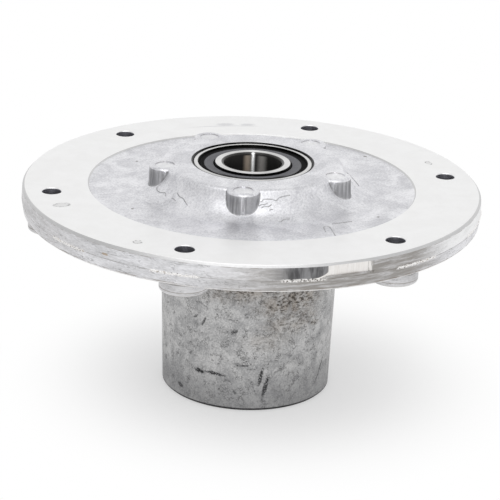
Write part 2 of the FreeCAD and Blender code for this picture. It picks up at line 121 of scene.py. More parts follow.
class Recipe:
    """Places nodes in a tree. An input takes a number, a colour, an output, or a node's first output."""

    def __init__(self, tree):
        self.tree = tree

    def add(self, kind, inputs=None, **settings):
        node = self.tree.nodes.new(kind)
        for name, value in settings.items():
            setattr(node, name, value)
        for socket, value in (inputs or {}).items():
            value = value.outputs[0] if isinstance(value, bpy.types.Node) else value
            if isinstance(value, bpy.types.NodeSocket):
                self.tree.links.new(value, node.inputs[socket])
            else:
                node.inputs[socket].default_value = value
        return node

    def math(self, operation, *values):
        return self.add("ShaderNodeMath", dict(enumerate(values)), operation=operation).outputs[0]

    def step(self, value, start, end, low=0.0, high=1.0, kind="SMOOTHSTEP"):
        """Goes from low to high while value goes from start to end, and stays there."""
        inputs = {0: value, 1: start, 2: end, 3: low, 4: high}
        return self.add("ShaderNodeMapRange", inputs, interpolation_type=kind).outputs[0]

    def span(self, value, start, full, waning, end):
        """0 before start, 1 from full to waning, and 0 after end."""
        return self.both(self.step(value, start, full), self.step(value, end, waning))

    def band(self, value, low, high, soft):
        """1 between low and high, and 0 outside."""
        return self.span(value, low - soft, low + soft, high - soft, high + soft)

    def both(self, *masks):
        """The product of masks and numbers."""
        joined = masks[0]
        for mask in masks[1:]:
            joined = self.math("MULTIPLY", joined, mask)
        return joined

    def either(self, *masks):
        """The largest of several masks."""
        joined = masks[0]
        for mask in masks[1:]:
            joined = self.math("MAXIMUM", joined, mask)
        return joined

    def length(self, first, second):
        """The diagonal of two sides at a right angle."""
        return self.math("SQRT", self.math("ADD", self.both(first, first), self.both(second, second)))

    def number(self, share, first, second):
        return self.add("ShaderNodeMix", {0: share, 2: first, 3: second}, data_type="FLOAT").outputs[0]

    def colour(self, share, first, second):
        inputs = {0: share, 6: first, 7: second}
        return self.add("ShaderNodeMix", inputs, data_type="RGBA").outputs[2]

    def scaled(self, vector, by):
        inputs = {0: vector, 1: by}
        return self.add("ShaderNodeVectorMath", inputs, operation="MULTIPLY").outputs[0]

    def noise(self, place, grain, detail=3.0, rough=0.55, twist=0.0):
        """Noise whose features are about grain across, in the units of place."""
        scale = 1 / grain if isinstance(grain, (int, float)) else self.math("DIVIDE", 1.0, grain)
        inputs = {"Vector": place, "Scale": scale, "Detail": detail, "Roughness": rough, "Distortion": twist}
        return self.add("ShaderNodeTexNoise", inputs).outputs["Fac"]

    def group(self, tree, **inputs):
        named = {name.replace("_", " "): value for name, value in inputs.items()}
        return self.add("ShaderNodeGroup", named, node_tree=tree).outputs


SOCKET_OF = {float: "Float", int: "Int", tuple: "Color"}


def new_tree(name, kind, inputs, outputs):
    """An empty tree, the recipe to fill it, and its ends. An input has its usual value, or its kind."""
    tree = bpy.data.node_groups.new(name, kind)
    for label, value in inputs.items():
        socket = SOCKET_OF.get(type(value), value)
        made = tree.interface.new_socket(label, in_out="INPUT", socket_type="NodeSocket" + socket)
        if socket is not value:
            made.default_value = value
    for label, socket in outputs.items():
        tree.interface.new_socket(label, in_out="OUTPUT", socket_type="NodeSocket" + socket)
    r = Recipe(tree)
    return tree, r, r.add("NodeGroupInput").outputs, r.add("NodeGroupOutput").inputs


def geometry_tree(name, inputs):
    """The recipe and the ends of an empty geometry tree, which also takes a material."""
    inputs = {**inputs, "Material": "Material"}
    return new_tree(name, "GeometryNodeTree", inputs, {"Geometry": "Geometry"})[1:]


def close_tree(r, leave, **results):
    """Wires the results to the tree's outputs."""
    for label, value in results.items():
        r.tree.links.new(value, leave[label])
    print("tree", r.tree.name, "with", len(r.tree.nodes), "nodes")


def close_geometry(r, enter, leave, geometry):
    """Makes instances real, sets the material and ends a geometry tree."""
    whole = r.add("GeometryNodeRealizeInstances", {"Geometry": geometry})
    painted = {"Geometry": whole, "Material": enter["Material"]}
    close_tree(r, leave, Geometry=r.add("GeometryNodeSetMaterial", painted).outputs[0])
    return r.tree


def grey(level, warmth=0.0):
    """A grey of that linear level; warmth above 0 leans to brown and below 0 to blue."""
    return (level * (1 + max(warmth, 0.0)), level, level * (1 - warmth), 1.0)


print("node helper ready")

# %% [markdown]
# ## Studio
# The photograph is a plain product shot: white paper below and behind, a broad soft light above, and a
# narrow strip of light from the front. A white world does most of that. It is dimmer in front and on the
# left, so that the walls which face the camera keep their shape, and overhead, where the soft light hangs.
# The floor mixes some white of its own in, all of it away from the part, so that it stays paper-white and
# still takes the soft shadow under the flange. From below it lets the camera through. It lies a hair under
# the tube's end, because two faces in one plane flicker.

# %% World, floor and lamps
BACKDROP = Vector((-math.sin(CAMERA_AZIMUTH), math.cos(CAMERA_AZIMUTH), 0.0))
LEFT_HAND = Vector((-BACKDROP.y, BACKDROP.x, 0.0))
BRIGHT_SIDE = (BACKDROP - LEFT_HAND * 0.6).normalized()
WORLD_FRONT, WORLD_BACK, OVERHEAD_SHARE = 0.64, 0.96, 0.66
FLOOR_SIZE, FLOOR_DROP, SHADOW_PLACE = 6.0, 0.1 * MM, Vector((0.008, -0.004, 0.0))
SHADOW_START, SHADOW_END, SHADOW_GLOW = 0.034, 0.122, 0.42
PAPER = grey(0.93)
LAMP_DISTANCE, TOP_SIZE, TOP_WATTS = 1.2, 1.1, 4.8
TOP_OFFSET = LEFT_HAND * 0.1 - BACKDROP * 0.46
STRIP_WIDE, STRIP_TALL, STRIP_WATTS, STRIP_RISE = 0.06, 0.9, 3.2, 0.55


def studio_world():
    world = bpy.data.worlds.new("soft_studio")
    world.use_nodes = True
    r = Recipe(world.node_tree)
    background = world.node_tree.nodes["Background"]
    direction = r.add("ShaderNodeTexCoord").outputs["Generated"]
    facing = r.add("ShaderNodeVectorMath", {0: direction, 1: BRIGHT_SIDE}, operation="DOT_PRODUCT")
    level = r.step(facing.outputs["Value"], -0.9, 0.5, WORLD_FRONT, WORLD_BACK)
    rise = r.add("ShaderNodeSeparateXYZ", {0: direction}).outputs[2]
    level = r.both(level, r.step(rise, 0.5, 0.95, 1.0, OVERHEAD_SHARE))
    seen = r.add("ShaderNodeLightPath").outputs["Is Camera Ray"]
    world.node_tree.links.new(r.number(seen, level, 1.0), background.inputs["Strength"])
    background.inputs["Color"].default_value = (1, 1, 1, 1)
    bpy.context.scene.world = world


def studio_floor():
    half, low = FLOOR_SIZE / 2, -FLOOR_DROP
    mesh = bpy.data.meshes.new("floor")
    corners = [(-half, -half, low), (half, -half, low), (half, half, low), (-half, half, low)]
    mesh.from_pydata(corners, [], [(0, 1, 2, 3)])
    floor = bpy.data.objects.new("floor", mesh)
    bpy.context.scene.collection.objects.link(floor)
    paper = bpy.data.materials.new("white_paper")
    paper.use_nodes = True
    paper.node_tree.nodes.clear()
    r = Recipe(paper.node_tree)
    rays = r.add("ShaderNodeLightPath").outputs
    shown = r.either(rays["Is Camera Ray"], rays["Is Glossy Ray"], rays["Is Transmission Ray"])
    place = r.add("ShaderNodeTexCoord").outputs["Object"]
    away = r.add("ShaderNodeVectorMath", {0: place, 1: SHADOW_PLACE}, operation="DISTANCE")
    matt = r.add("ShaderNodeBsdfDiffuse", {"Color": PAPER}).outputs[0]
    white = r.add("ShaderNodeEmission", {"Strength": 1.0}).outputs[0]
    glow = r.step(away.outputs["Value"], SHADOW_START, SHADOW_END, SHADOW_GLOW, 1.0)
    glow = r.both(shown, glow)
    front = r.add("ShaderNodeMixShader", {0: glow, 1: matt, 2: white}).outputs[0]
    clear = r.add("ShaderNodeBsdfTransparent").outputs[0]
    below = r.add("ShaderNodeNewGeometry").outputs["Backfacing"]
    sheet = r.add("ShaderNodeMixShader", {0: below, 1: front, 2: clear}).outputs[0]
    r.add("ShaderNodeOutputMaterial", {"Surface": sheet})
    mesh.materials.append(paper)


def softbox(name, place, aim, wide, tall, watts):
    lamp = bpy.data.lights.new(name, "AREA")
    lamp.shape, lamp.size, lamp.size_y, lamp.energy = "RECTANGLE", wide, tall, watts
    holder = bpy.data.objects.new(name, lamp)
    holder.location = place
    holder.rotation_euler = (Vector(aim) - Vector(place)).to_track_quat("-Z", "Y").to_euler()
    bpy.context.scene.collection.objects.link(holder)
    return holder


studio_world()
studio_floor()
aim = (0, 0, FACE * MM)
above, before = Vector((0, 0, LAMP_DISTANCE)), Vector((0, 0, STRIP_RISE)) - BACKDROP * LAMP_DISTANCE
top_light = softbox("top_softbox", above + TOP_OFFSET, aim, TOP_SIZE, TOP_SIZE, TOP_WATTS)
front_light = softbox("front_strip", before, aim, STRIP_WIDE, STRIP_TALL, STRIP_WATTS)
bpy.context.scene.view_settings.view_transform = "Standard"
print("studio: floor", FLOOR_SIZE, "m wide, lamps:", top_light.name, front_light.name)

# %% [markdown]
# ## Where on the round part
# Almost every finish here follows the bore axis: turning lines run in circles, the parting line runs round
# the rim, a stain sits at some angle and height of the tube. This group turns a place in millimetres into
# the distance from the axis, the angle round it and the height, and every later material starts with it.

# %% Group: round place
round_place, r, enter, leave = new_tree(
    "round_place", "ShaderNodeTree", {"Place": "Vector"},
    {"Radius": "Float", "Angle": "Float", "Height": "Float"})
x, y, z = r.add("ShaderNodeSeparateXYZ", {0: enter["Place"]}).outputs[:]
turn = r.math("DEGREES", r.math("ARCTAN2", y, x))
whole = r.math("FLOORED_MODULO", turn, 360.0)
close_tree(r, leave, Radius=r.length(x, y), Angle=whole, Height=z)

# %% [markdown]
# ## Cast skin
# Aluminium that froze against a steel die has a satin, cloudy skin: broad pale and dull patches where the
# metal flowed, a fine grain from the die's own surface, and small dark specks. One noise alone looks like
# fog, so two sizes are added. The specks come from a cell pattern that is let through only in places, and
# the fine wandering flow lines are the contour of another noise, where it passes its middle value. The rim,
# the dish, the tube and the laps all use this group with their own greys and sizes.

# %% Group: cast skin
cast_skin, r, enter, leave = new_tree(
    "cast_skin", "ShaderNodeTree",
    {"Place": "Vector", "Pale": grey(0.7), "Dull": grey(0.5), "Cloud": 12.0, "Grain": 0.8,
     "Grain Share": 0.35, "Specks": 0.3, "Veins": 0.2, "Vein Size": 4.0},
    {"Colour": "Color", "Tone": "Float", "Height": "Float"})
clouds = r.noise(enter["Place"], enter["Cloud"], 6.0, 0.6, 0.8)
grain = r.noise(enter["Place"], enter["Grain"], 2.0, 0.6)
mixed = r.number(enter["Grain Share"], clouds, grain)
tone = r.step(mixed, 0.34, 0.66)
cells = r.add("ShaderNodeTexVoronoi", {"Vector": enter["Place"], "Scale": 0.55, "Randomness": 1.0})
speck = r.step(cells.outputs["Distance"], 0.20, 0.08)
patchy = r.step(r.noise(enter["Place"], 7.0, 2.0), 0.5, 0.62)
speck = r.both(speck, patchy, enter["Specks"])
flow = r.noise(enter["Place"], enter["Vein Size"], 3.0, 0.6, 1.2)
vein = r.step(r.math("ABSOLUTE", r.math("SUBTRACT", flow, 0.5)), 0.030, 0.008)
broken = r.step(r.noise(enter["Place"], 3.5, 2.0), 0.46, 0.60)
vein = r.both(vein, broken, enter["Veins"])
skin = r.colour(tone, enter["Dull"], enter["Pale"])
skin = r.colour(r.either(speck, vein), skin, grey(0.10, 0.02))
relief = r.math("SUBTRACT", r.number(0.35, grain, clouds), r.math("ADD", speck, vein))
close_tree(r, leave, Colour=skin, Tone=tone, Height=relief)

# %% [markdown]
# ## Tool lines
# A turning or grinding tool leaves fine rings. Wave textures look too even, because a real tool chatters,
# so the lines are noise along one direction only: the distance across the lines drives it, and a second,
# broader noise lets the lines fade in and out. The machined ring, the bearing rings and the spacer use it.

# %% Group: tool lines
tool_lines, r, enter, leave = new_tree(
    "tool_lines", "ShaderNodeTree",
    {"Across": 0.0, "Place": "Vector", "Pitch": 0.3}, {"Lines": "Float", "Smear": "Float"})
apart = r.math("DIVIDE", enter["Across"], enter["Pitch"])
fine = r.add("ShaderNodeTexNoise", {"W": apart, "Scale": 1.0, "Detail": 3.0}, noise_dimensions="1D")
smear = r.noise(enter["Place"], 9.0, 4.0, 0.6, 0.5)
swing = r.math("SUBTRACT", fine.outputs["Fac"], 0.5)
lines = r.math("MULTIPLY_ADD", swing, r.step(smear, 0.2, 0.8, 0.4, 1.0), 0.5)
close_tree(r, leave, Lines=lines, Smear=smear)

# %% [markdown]
# ## One mark
# Stains, scuffs and nicks are single marks at a known place. A painted picture could hold them, but this
# part uses no pictures, so a mark is an oval given by its angle, its place across (a height on a wall, a
# radius on a face), its size and its tilt. Noise frays the outline. The group gives the filled oval and its
# outline.

# %% Group: one mark
one_mark, r, enter, leave = new_tree(
    "one_mark", "ShaderNodeTree",
    {"Place": "Vector", "Radius": 1.0, "Angle": 0.0, "Across": 0.0, "At Angle": 0.0, "At Across": 0.0,
     "Long": 2.0, "Wide": 1.0, "Tilt": 0.0, "Fray": 0.5, "Soft": 0.3},
    {"Filled": "Float", "Outline": "Float"})
turned = r.math("SUBTRACT", enter["Angle"], enter["At Angle"])
turned = r.math("FLOORED_MODULO", r.math("ADD", turned, 180.0), 360.0)
turned = r.math("SUBTRACT", turned, 180.0)
run = r.both(r.math("RADIANS", turned), enter["Radius"])
rise = r.math("SUBTRACT", enter["Across"], enter["At Across"])
tilt = r.math("RADIANS", enter["Tilt"])
cosine, sine = r.math("COSINE", tilt), r.math("SINE", tilt)
ahead = r.math("ADD", r.both(run, cosine), r.both(rise, sine))
beside = r.math("SUBTRACT", r.both(rise, cosine), r.both(run, sine))
reach = r.length(r.math("DIVIDE", ahead, enter["Long"]),
                      r.math("DIVIDE", beside, enter["Wide"]))
frayed = r.math("SUBTRACT", r.noise(enter["Place"], 0.9, 3.0), 0.5)
reach = r.math("MULTIPLY_ADD", frayed, enter["Fray"], reach)
inner, outer = r.math("SUBTRACT", 1.0, enter["Soft"]), r.math("ADD", 1.0, enter["Soft"])
filled = r.step(reach, outer, inner)
outline = r.both(r.step(reach, outer, 1.0), r.step(reach, inner, 1.0))
close_tree(r, leave, Filled=filled, Outline=outline)

# %% [markdown]
# ## Starting a material
# Every finish starts the same way: a Principled shader, the place on the part in millimetres, and the round
# place. The helper below sets that up once. Tints are then laid over one another like thin coats, each where
# its masks allow. The end joins the results: colour, roughness and a bump whose depth is given in
# millimetres, so that it stays true to the part's size.

# %% Material helper


class Finish(Recipe):
    """A new material with its shader, the place in millimetres and the round place."""

    def __init__(self, name, **shader_values):
        self.material = bpy.data.materials.new(name)
        self.material.use_nodes = True
        super().__init__(self.material.node_tree)
        self.shader = self.material.node_tree.nodes["Principled BSDF"]
        for socket, value in shader_values.items():
            self.shader.inputs[socket.replace("_", " ")].default_value = value
        metres = self.add("ShaderNodeTexCoord").outputs["Object"]
        self.place = self.scaled(metres, (1 / MM, 1 / MM, 1 / MM))
        self.radius, self.angle, self.height = self.group(round_place, Place=self.place)

    def start(self, tint, rough):
        """The colour and the roughness that the coats go over."""
        self.tint, self.rough = tint, rough

    def coat(self, tint, *masks):
        """Lays a tint over the colour so far, where all the masks allow it."""
        self.tint = self.colour(self.both(*masks), self.tint, tint)

    def roughen(self, rough, mask):
        self.rough = self.number(mask, self.rough, rough)

    def mark(self, at_angle, at_across, long, wide, tilt=0.0, across=None, fray=0.5, soft=0.3):
        return self.group(
            one_mark, Place=self.place, Radius=self.radius, Angle=self.angle,
            Across=self.height if across is None else across, At_Angle=at_angle, At_Across=at_across,
            Long=long, Wide=wide, Tilt=tilt, Fray=fray, Soft=soft)

    def marks(self, table, shape="Filled", **how):
        """All marks of a table as one mask. A sixth value in a row is that mark's strength."""
        return self.either(*[self.both(self.mark(*row[:5], **how)[shape], *row[5:]) for row in table])

    def patches(self, grain, start, end, low=0.0, high=1.0, stretch=(1, 1, 1), **noise):
        """Irregular patches about grain across, from low to high where the noise goes from start to end."""
        place = self.place if stretch == (1, 1, 1) else self.scaled(self.place, stretch)
        return self.step(self.noise(place, grain, **noise), start, end, low, high)

    def finish(self, height, depth):
        """Joins the colour, the roughness and a bump of that depth in millimetres."""
        bump = self.add("ShaderNodeBump", {"Height": height, "Strength": 1.0, "Distance": depth * MM})
        ends = {"Base Color": self.tint, "Roughness": self.rough, "Normal": bump.outputs[0]}
        for socket, value in ends.items():
            self.tree.links.new(value, self.shader.inputs[socket])
        return self.material


print("material helper ready")

# %% [markdown]
# ## The casting's finish
# One casting shows several surfaces: the bright machined ring, the satin dish and hub, the rim with its
# parting line, the dull stained tube, and machined bores. They are one solid, so one material tells them
# apart by radius and height. Marks that the photograph shows come from short tables of places.

# %% Marks: angle, height or radius, half length, half width, then tilt and strength where they differ
TUBE_SCUFFS = (
    (225.5, 16.1, 2.6, 1.05, -6, 1.0),
    (231.5, 16.5, 1.6, 0.50, -6, 0.6),
    (237.1, 16.4, 3.8, 0.85, -6, 0.95),
    (267.6, 16.2, 4.2, 0.80, 80, 0.95),
    (270.9, 11.1, 5.0, 0.90, 78, 1.0),
    (208.1, 5.9, 1.8, 0.95, -20, 1.0),
    (317.4, 13.4, 6.2, 0.55, 62, 0.7),
    (249.5, 37.3, 1.6, 0.95, 30, 0.7),
    (228.3, 40.1, 2.4, 0.55, 64, 0.7),
    (222.0, 41.5, 1.4, 0.55, 40, 0.6),
    (255.0, 21.5, 3.3, 0.40, 3, 0.7),
    (250.7, 8.6, 1.3, 0.60, -60, 0.7),
    (187.4, 19.6, 0.9, 1.00, 0, 0.6),
    (187.3, 14.1, 1.0, 1.10, 0, 0.7),
    (24.0, 22.0, 4.0, 0.70, 72, 0.8),
    (96.0, 30.5, 3.2, 0.80, -8, 0.7),
    (141.0, 12.5, 2.6, 0.70, 55, 0.8),
)
TUBE_RINGS = ((283.0, 13.6, 6.0, 5.4, 0, 0.45), (60.0, 20.0, 5.0, 6.0, 0, 0.4))
TUBE_STAINS = (
    (288.0, 51.0, 14.0, 6.0, 4, 0.9),
    (306.7, 38.0, 2.4, 1.2, -8, 0.9),
    (289.0, 42.0, 12.0, 6.0, 8, 0.55),
    (272.0, 33.0, 9.0, 4.0, 0, 0.35),
    (252.0, 54.0, 15.0, 3.2, 2, 0.5),
    (262.0, 57.5, 22.0, 3.2, 0, 0.8),
    (284.0, 57.5, 7.0, 2.4, 0, 1.0),
    (40.0, 50.0, 13.0, 5.0, -5, 0.7),
    (150.0, 52.0, 16.0, 4.0, 3, 0.6),
)
RING_DENTS = ((191.9, 88.0, 2.2, 3.3), (227.0, 90.3, 1.7, 1.8), (12.7, 88.0, 2.2, 1.2))
RING_SMEARS = ((86.5, 85.8, 4.0, 1.8), (79.5, 85.6, 3.0, 1.6), (87.0, 83.5, 15.0, 0.5))
DISH_PITS = ((313.6, 64.5, 0.7, 0.6), (29.1, 68.5, 0.8, 0.7), (203.5, 62.0, 0.7, 0.6), (140, 58.5, 0.6, 0.6))
FLASH_STRETCHES = (
    (203, 215, 0.0, 0.34, 0.30),
    (234, 246, -0.1, 0.36, 0.30),
    (264.5, 275.5, 0.0, 0.30, -0.14),
    (294, 307, -0.1, 0.40, 0.25),
    (323, 342, 0.3, 0.40, 0.10),
    (28, 41, 0.0, 0.36, 0.25),
    (118, 139, 0.0, 0.34, 0.25),
)
RIM_SPECK = (221.6, 87.5, 1.6, 0.5)
print("marks:", len(TUBE_SCUFFS) + len(TUBE_STAINS) + len(RING_DENTS) + len(RING_SMEARS) + len(DISH_PITS))

# %% More places on the casting: angles of the rim's sides and of the gate's cut, heights, then radii
MUDDY_RIGHT, PAINTED_SHADE_LEFT, PALE_RIGHT_END = (242, 270, 297, 314), (150, 180, 200, 222), (300, 318, 340, 358)
PAINTED_SHADE_LEFT_SHARE = 0.35
CUT_START, CUT_END, PATCH_START, PATCH_FULL = 275.5, 287.6, 260.0, 268.0
FOOT_TOP, FOOT_FULL = 24.0, 3.0
TUBE_ROOT, ROOT_END, PLATEAU_EDGE, LOW_EDGE = 46.0, 50.0, 38.4, 98.0
print("gate cut from", CUT_START, "to", CUT_END, "degrees")

# %% [markdown]
# The zones come first. A mask is 1 inside its zone and fades over a tenth of a millimetre, so that an edge
# stays crisp at any distance but never turns jagged. Lugs and holes repeat round the axis, so the angle is
# folded into one share of the circle, and an ejector mark or a hole is then a circle about a single point.

# %% Zones of the casting
casting = Finish("cast_aluminium", Metallic=1.0)


def off_centres(f, count, first, circle):
    """Distance in plan from the nearest of several equal centres on a circle."""
    share = 360.0 / count
    folded = f.math("FLOORED_MODULO", f.math("ADD", f.angle, share / 2 - first), share)
    folded = f.math("RADIANS", f.math("SUBTRACT", folded, share / 2))
    ahead = f.math("MULTIPLY_ADD", f.radius, f.math("COSINE", folded), -circle)
    return f.length(ahead, f.both(f.radius, f.math("SINE", folded)))


def casting_zones(f):
    above_dish = f.step(f.height, FACE - 0.45, FACE - 0.25)
    off_hole = off_centres(f, HOLE_COUNT, 0.0, HOLE_CIRCLE)
    zones = {
        "ring": f.both(above_dish, f.step(f.radius, RING_INNER - 0.5, RING_INNER - 0.3)),
        "rim": f.both(f.step(f.radius, RING_OUTER + 0.2, RING_OUTER + 0.4),
                      f.step(f.height, FACE - 0.9, FACE - 1.1)),
        "tube": f.both(f.step(f.height, UNDERSIDE - 0.2, UNDERSIDE - 3.0),
                       f.step(f.radius, ROOT_END, TUBE_ROOT)),
        "under": f.both(f.step(f.height, UNDERSIDE + 0.3, UNDERSIDE + 0.1),
                        f.step(f.radius, TUBE_ROOT, ROOT_END)),
        "bore": f.step(f.radius, SEAT_RADIUS + 0.75, SEAT_RADIUS + 0.6),
        "end": f.step(f.height, 0.25, 0.1),
        "joint": f.step(f.radius, SEAT_RADIUS + 0.90, SEAT_RADIUS + 0.75),
        "hole": f.step(off_hole, HOLE_RADIUS + 0.16, HOLE_RADIUS + 0.08),
        "boss": f.both(f.step(off_hole, BOSS_RADIUS + 0.6, BOSS_RADIUS + 0.4),
                       f.step(f.height, UNDERSIDE - 0.1, UNDERSIDE - 0.4)),
        "boss_edge": f.both(f.band(off_hole, BOSS_RADIUS - 0.5, BOSS_RADIUS + 0.3, 0.1),
                            f.step(f.height, BOSS_END + 0.9, BOSS_END + 0.5)),
        "boss_root": f.both(f.step(off_hole, BOSS_RADIUS + 0.9, BOSS_RADIUS + 0.3),
                            f.band(f.height, UNDERSIDE - 0.8, UNDERSIDE + 0.05, 0.2)),
        "boss_line": f.both(f.step(off_hole, BOSS_RADIUS + 0.6, BOSS_RADIUS + 0.4),
                            f.either(f.band(f.height, BOSS_END + 0.05, BOSS_END + 0.45, 0.1),
                                     f.band(f.height, BOSS_END + 1.7, BOSS_END + 2.0, 0.1))),
        "lip": f.both(f.step(f.radius, RING_OUTER - 0.05, RING_OUTER + 0.1),
                      f.step(f.height, FACE - 1.2, FACE - 1.0)),
        "ring_step": f.both(f.band(f.radius, RING_INNER - DISH_DROP, RING_INNER - 0.02, 0.04),
                            f.step(f.height, FACE - DISH_DROP, FACE - DISH_DROP + 0.06)),
    }
    off_lug = off_centres(f, LUG_COUNT, 180.0, LUG_CIRCLE)
    on_top = f.step(f.height, HUB_TOP - 0.7, HUB_TOP - 0.5)
    zones["ejector_edge"] = f.both(f.band(off_lug, EJECTOR_MARK - 0.12, EJECTOR_MARK + 0.04, 0.10), on_top)
    zones["ejector_mark"] = f.both(f.step(off_lug, EJECTOR_MARK - 0.15, EJECTOR_MARK - 0.4), on_top)
    hollow = f.span(f.radius, PLATEAU_EDGE, PLATEAU_EDGE + 1.0, FLARE_END - 2.0, FLARE_END + 0.5)
    zones["flare"] = f.both(hollow, f.step(f.height, HUB_TOP - 0.5, HUB_TOP - 1.5), above_dish)
    zones["lug_wall"] = f.both(f.band(off_lug, LUG_RADIUS - 0.05, LUG_RADIUS + 0.55, 0.1),
                               f.step(f.radius, LUG_CIRCLE, LUG_CIRCLE + 0.5),
                               f.band(f.height, FACE + 0.2, HUB_TOP - 1.0, 0.2))
    gate_turn = f.math("RADIANS", f.math("SUBTRACT", f.angle, GATE_ANGLE))
    outward = f.both(f.radius, f.math("COSINE", gate_turn))
    zones["gate"] = f.both(f.band(outward, GATE_DISTANCE - 0.03, GATE_DISTANCE + 0.03, 0.01),
                           f.step(f.height, FACE - GATE_HEIGHT - 0.1, FACE - GATE_HEIGHT + 0.05),
                           zones["rim"])
    return zones


zones = casting_zones(casting)
print("zones:", ", ".join(zones))

# %% [markdown]
# The skin under the marks is mixed zone by zone: each zone has a pale and a dull grey and its own cloud and
# grain size. The dish is pale and slightly blue with broad clouds, the tube is dull with a coarse mottle,
# and the rim lies between them. The underside and the bosses are painted darker, as painted shade under the
# flange. The machined ring is almost white, with faint turning lines.

# %% Skin of each zone


def casting_skin(f, zones):
    dish = f.group(cast_skin, Place=f.place, Pale=grey(0.92, -0.025), Dull=grey(0.64, -0.045),
                   Cloud=13.0, Grain=0.8, Grain_Share=0.46, Specks=0.2, Veins=0.10, Vein_Size=9.0)
    drawn_out = f.scaled(f.place, (0.5, 0.5, 2.4))
    rim = f.group(cast_skin, Place=drawn_out, Pale=grey(0.87, -0.03),
                  Dull=grey(0.62, -0.02), Cloud=9.0, Grain=0.8, Grain_Share=0.42, Specks=0.5, Veins=0.4,
                  Vein_Size=5.0)
    tube = f.group(cast_skin, Place=f.place, Pale=grey(0.59, 0.006), Dull=grey(0.36, -0.012),
                   Cloud=9.0, Grain=0.7, Grain_Share=0.45, Specks=0.6, Veins=0.75, Vein_Size=2.2)
    turned = f.group(tool_lines, Across=f.radius, Place=f.place, Pitch=0.35)
    bright = f.colour(f.step(turned["Smear"], 0.3, 0.7), grey(0.91, 0.002), grey(0.94))
    machined = f.either(zones["ring"], zones["bore"], zones["end"])
    rim_like = f.either(zones["rim"], zones["under"])
    f.start(dish["Colour"], f.step(dish["Tone"], 0.0, 1.0, 0.47, 0.40))
    f.coat(rim["Colour"], zones["rim"])
    # Painted shade: the underside and the bosses are painted darker, as shade under the flange.
    f.coat(f.colour(0.45, rim["Colour"], grey(0.30, 0.03)), zones["under"])
    f.coat(f.colour(0.35, rim["Colour"], grey(0.36, 0.03)), zones["boss"])
    f.coat(tube["Colour"], zones["tube"])
    f.coat(bright, machined)
    f.roughen(0.50, zones["flare"])
    f.roughen(f.step(rim["Tone"], 0.0, 1.0, 0.52, 0.42), rim_like)
    f.roughen(f.step(tube["Tone"], 0.0, 1.0, 0.62, 0.48), zones["tube"])
    f.roughen(f.step(turned["Lines"], 0.3, 0.7, 0.36, 0.42), machined)
    relief = f.number(zones["tube"], f.both(dish["Height"], 0.45), tube["Height"])
    relief = f.number(rim_like, relief, f.both(rim["Height"], 0.7))
    return f.number(machined, relief, f.both(turned["Lines"], 0.08))


relief = casting_skin(casting, zones)
print("casting has", len(casting.tree.nodes), "nodes so far")

# %% [markdown]
# Now the single marks go over the skin. Scuffs are dark and rough, stains are brown and thin, and the dents
# on the machined ring are painted shade: a darker fill and a darker outline stand for dents that the solid
# does not have. The tube is painted darker towards its foot, as painted shade near the floor, with a painted
# contact shadow round its lowest edge. The rim gets mud on its right side and painted shade on its left, a
# paler right end, the bright line of its worn lower edge, the flat where the gate was cut off, and the dark
# smooth patch beside that flat.

# %% Marks on the casting


def casting_marks(f, zones):
    tube, ring = zones["tube"], zones["ring"]
    stained = f.both(f.marks(TUBE_STAINS, fray=1.4, soft=0.7), tube)
    f.coat(grey(0.31, 0.12), stained, f.patches(4.5, 0.42, 0.60, 0.35, 0.95, detail=4.0, rough=0.65))
    crusty = f.patches(1.9, 0.48, 0.59, stretch=(1, 1, 2.0), detail=4.0, rough=0.7)
    f.coat(grey(0.055, 0.16), stained, crusty)
    dried = f.marks(TUBE_RINGS, "Outline", fray=0.5, soft=0.14)
    f.coat(grey(0.16, 0.02), dried, f.patches(5.0, 0.42, 0.58, detail=2.0), tube)
    grainy = f.patches(0.5, 0.36, 0.48, rough=0.6)
    scuffed = f.both(f.marks(TUBE_SCUFFS, fray=1.5, soft=0.35), tube, grainy)
    f.coat(grey(0.03, -0.06), scuffed)
    f.roughen(0.7, scuffed)
    on_face = {"across": f.radius}
    # Painted shade: each dent is a darker fill and a darker outline, as the solid has no dents.
    f.coat(grey(0.66), f.marks(RING_DENTS, fray=0.7, **on_face), ring, 0.5)
    uneven = f.patches(1.6, 0.4, 0.6, detail=2.0)
    f.coat(grey(0.4), f.marks(RING_DENTS, "Outline", fray=0.7, **on_face), ring, uneven)
    f.coat(grey(0.52, -0.06), f.marks(RING_SMEARS, fray=1.2, soft=0.5, **on_face), ring, 0.45)
    f.coat(grey(0.16, 0.08), f.marks(DISH_PITS, fray=0.8, **on_face), 0.8)
    # Painted shade: a dark brown outline in the crevice round each ejector mark. Painted highlight: the
    # inside of each mark is paler.
    f.coat(grey(0.20, 0.14), zones["ejector_edge"], f.patches(2.5, 0.40, 0.62, 0.0, 0.35, detail=2.0))
    f.coat(grey(0.94), zones["ejector_mark"], 0.4)
    # The lug walls get streaks drawn down them like die drag lines, over a darkening of the whole wall that
    # is painted shade.
    f.coat(grey(0.29, -0.03), zones["lug_wall"], f.patches(1.3, 0.36, 0.64, 1.0, 0.6, stretch=(1, 1, 0.06)))
    f.roughen(0.46, zones["lug_wall"])
    f.coat(grey(0.010), zones["joint"])
    # Painted shade: the walls of the bolt holes are painted a dark blue grey.
    f.coat(grey(0.34, -0.10), zones["hole"], 0.85)
    # Painted shade: the tube is painted darker towards its foot.
    f.coat(grey(0.20, -0.03), tube, f.step(f.height, FOOT_TOP, FOOT_FULL, 0.0, 0.45))
    # Painted shadow: a near-black line round the lowest millimetre of the tube's wall, where it stands on
    # the floor.
    foot_edge = f.step(f.radius, TUBE_END_RADIUS - 1.2, TUBE_END_RADIUS - 0.7)
    f.coat(grey(0.03, -0.05), f.step(f.height, 1.5, 0.9), foot_edge)
    # A pale line along the inner edge of the machined ring: a burr from turning, and partly a painted
    # highlight.
    f.coat(grey(0.95), f.band(f.radius, RING_INNER - 0.1, RING_INNER + 0.6, 0.15), ring, 0.6)
    # Painted shade: the small slope between the dish and the machined ring is painted grey, where it would
    # mirror the top lamp.
    f.coat(grey(0.66), zones["ring_step"])


